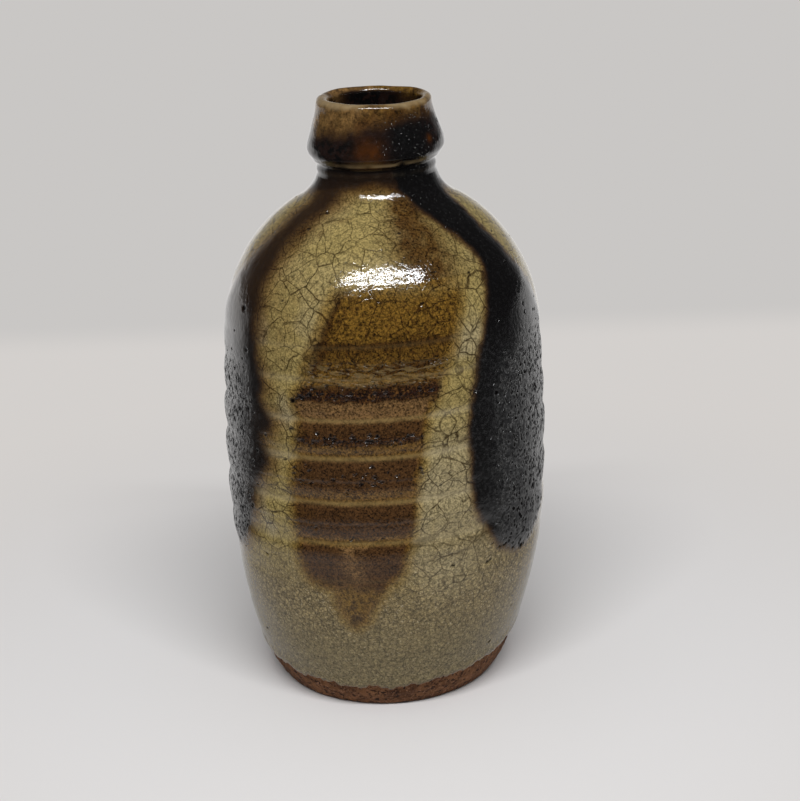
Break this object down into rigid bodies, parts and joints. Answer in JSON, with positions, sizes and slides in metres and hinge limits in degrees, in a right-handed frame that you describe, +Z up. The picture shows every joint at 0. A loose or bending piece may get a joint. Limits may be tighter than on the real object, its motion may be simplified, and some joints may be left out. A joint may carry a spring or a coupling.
{
  "type": "sake bottle",
  "caption": "Wheel-thrown stoneware sake bottle with a narrow collared neck, finger-ringed wall, crackled ash glaze and dark iron runs over a bare clay foot.",
  "frame": {"origin": "centre of the flat base, where the bottle stands", "axes": "+Z up along the axis of the wheel; -Y is the front, with the amber iron run; +X is the side of the broad black run"},
  "size_m": [0.0903, 0.0908, 0.1645],
  "materials": {
    "clay": "matte",
    "ash_glaze": "gloss",
    "liner_glaze": "gloss",
    "iron_glaze": "satin",
    "amber_glaze": "gloss"
  },
  "bodies": {
    "root": {"stoneware_body": "clay", "outer_glaze": "ash_glaze", "inner_glaze": "liner_glaze", "iron_collar_band": "iron_glaze", "iron_run_front": "amber_glaze", "iron_run_left": "iron_glaze", "iron_run_right": "iron_glaze", "iron_run_back": "iron_glaze"}
  },
  "joints": []
}
